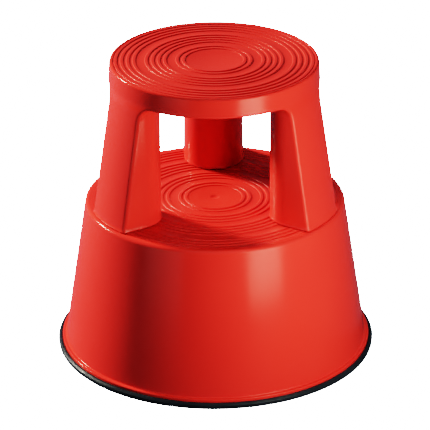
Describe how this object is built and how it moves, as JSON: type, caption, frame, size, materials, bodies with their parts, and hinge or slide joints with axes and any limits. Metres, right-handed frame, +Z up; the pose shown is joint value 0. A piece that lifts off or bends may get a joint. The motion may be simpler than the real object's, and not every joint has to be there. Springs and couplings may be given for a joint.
{
  "type": "kick step stool",
  "caption": "Round rolling kick step stool with a bell-shaped base, a ringed lower tread, a top tread on arched legs, a rubber bumper ring and sprung swivel castors underneath.",
  "frame": {"origin": "on the floor, under the centre of the stool", "axes": "+Z up along the stool's axis; -Y towards the window between the two front legs"},
  "size_m": [0.448, 0.448, 0.431],
  "materials": {
    "red_shell": "satin moulded polypropylene",
    "rubber": "matte",
    "zinc_steel": "zinc plated, satin",
    "spring_steel": "drawn wire, lightly oiled",
    "black_acetal": "smooth satin",
    "white_nylon": "smooth satin",
    "grey_tyre": "matte elastomer"
  },
  "bodies": {
    "stool": {"base_shell": "red_shell", "top_step": "red_shell", "bumper_ring": "rubber", "leg_screw_1": "zinc_steel", "leg_screw_2": "zinc_steel", "leg_screw_3": "zinc_steel", "leg_screw_4": "zinc_steel", "leg_screw_5": "zinc_steel", "leg_screw_6": "zinc_steel", "leg_washer_1": "zinc_steel", "leg_washer_2": "zinc_steel", "leg_washer_3": "zinc_steel", "leg_washer_4": "zinc_steel", "leg_washer_5": "zinc_steel", "leg_washer_6": "zinc_steel", "castor_1_guide": "black_acetal", "castor_1_spring": "spring_steel", "castor_2_guide": "black_acetal", "castor_2_spring": "spring_steel", "castor_3_guide": "black_acetal", "castor_3_spring": "spring_steel"},
    "castor_1_slider": {"castor_1_plunger": "white_nylon"},
    "castor_1_swivel": {"castor_1_stem": "zinc_steel", "castor_1_fork": "zinc_steel", "castor_1_axle": "zinc_steel"},
    "castor_1_wheel": {"castor_1_hub": "white_nylon", "castor_1_tyre": "grey_tyre"},
    "castor_2_slider": {"castor_2_plunger": "white_nylon"},
    "castor_2_swivel": {"castor_2_stem": "zinc_steel", "castor_2_fork": "zinc_steel", "castor_2_axle": "zinc_steel"},
    "castor_2_wheel": {"castor_2_hub": "white_nylon", "castor_2_tyre": "grey_tyre"},
    "castor_3_slider": {"castor_3_plunger": "white_nylon"},
    "castor_3_swivel": {"castor_3_stem": "zinc_steel", "castor_3_fork": "zinc_steel", "castor_3_axle": "zinc_steel"},
    "castor_3_wheel": {"castor_3_hub": "white_nylon", "castor_3_tyre": "grey_tyre"}
  },
  "joints": [
    {"name": "castor_1_plunge", "type": "slide", "parent": "stool", "child": "castor_1_slider", "axis": [0, 0, 1], "range_m": [0, 0.008], "stiffness_N_per_m": 3000, "springref_m": -0.01, "deforming": ["castor_1_spring"]},
    {"name": "castor_1_swivel", "type": "hinge", "parent": "castor_1_slider", "child": "castor_1_swivel", "pos_m": [0.1299, 0.075, 0], "axis": [0, 0, 1], "continuous": true},
    {"name": "castor_1_roll", "type": "hinge", "parent": "castor_1_swivel", "child": "castor_1_wheel", "pos_m": [0.1234, 0.08626, 0.019], "axis": [0.866, 0.5, 0], "continuous": true},
    {"name": "castor_2_plunge", "type": "slide", "parent": "stool", "child": "castor_2_slider", "axis": [0, 0, 1], "range_m": [0, 0.008], "stiffness_N_per_m": 3000, "springref_m": -0.01, "deforming": ["castor_2_spring"]},
    {"name": "castor_2_swivel", "type": "hinge", "parent": "castor_2_slider", "child": "castor_2_swivel", "pos_m": [-0.1299, 0.075, 0], "axis": [0, 0, 1], "continuous": true},
    {"name": "castor_2_roll", "type": "hinge", "parent": "castor_2_swivel", "child": "castor_2_wheel", "pos_m": [-0.1364, 0.06374, 0.019], "axis": [-0.866, 0.5, 0], "continuous": true},
    {"name": "castor_3_plunge", "type": "slide", "parent": "stool", "child": "castor_3_slider", "axis": [0, 0, 1], "range_m": [0, 0.008], "stiffness_N_per_m": 3000, "springref_m": -0.01, "deforming": ["castor_3_spring"]},
    {"name": "castor_3_swivel", "type": "hinge", "parent": "castor_3_slider", "child": "castor_3_swivel", "pos_m": [0, -0.15, 0], "axis": [0, 0, 1], "continuous": true},
    {"name": "castor_3_roll", "type": "hinge", "parent": "castor_3_swivel", "child": "castor_3_wheel", "pos_m": [0.013, -0.15, 0.019], "axis": [0, -1, 0], "continuous": true}
  ]
}
